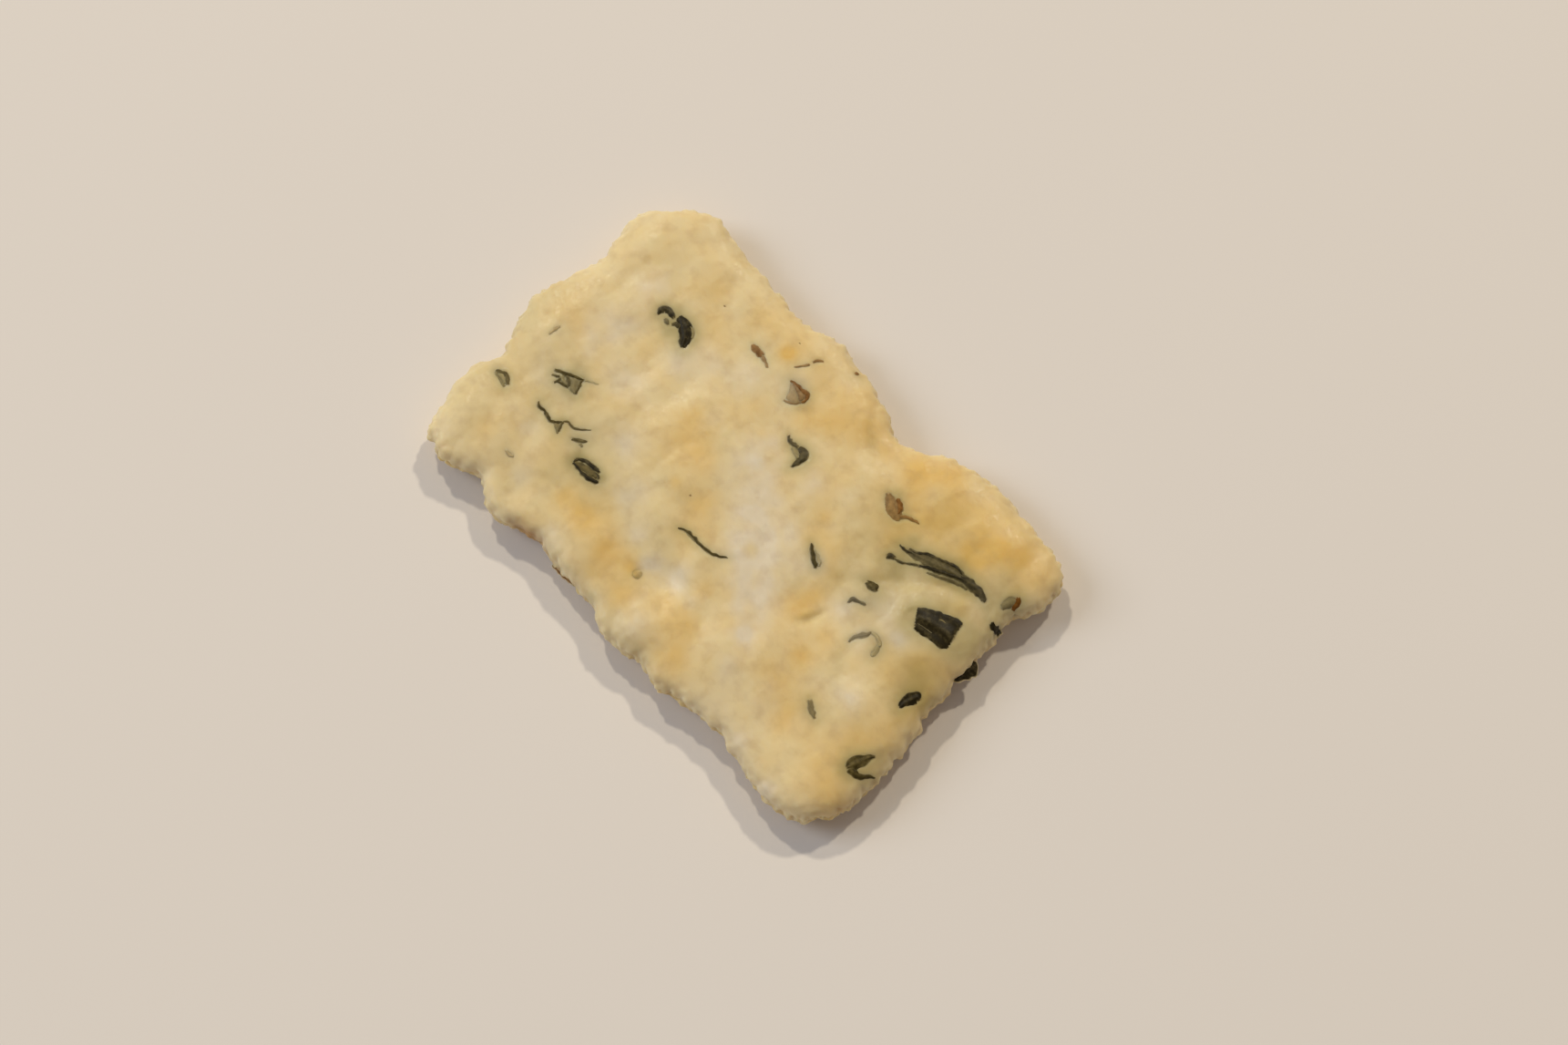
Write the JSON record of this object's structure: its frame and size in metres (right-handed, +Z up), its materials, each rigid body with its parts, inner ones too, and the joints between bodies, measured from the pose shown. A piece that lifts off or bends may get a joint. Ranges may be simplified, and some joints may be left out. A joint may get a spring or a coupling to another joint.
{
  "type": "rice cracker",
  "caption": "Flat rectangular baked rice cracker with an uneven rim, low puffs and hollows on both faces and chopped seaweed baked into its surface.",
  "frame": {"origin": "middle of the cracker's outline, at the height of the surface it rests on", "axes": "+X along the cracker's length, +Y along its width, +Z up out of its upper face"},
  "size_m": [0.0539, 0.0342, 0.0054],
  "materials": {
    "dough": "satin"
  },
  "bodies": {
    "root": {"rice_cracker": "dough"}
  },
  "joints": []
}
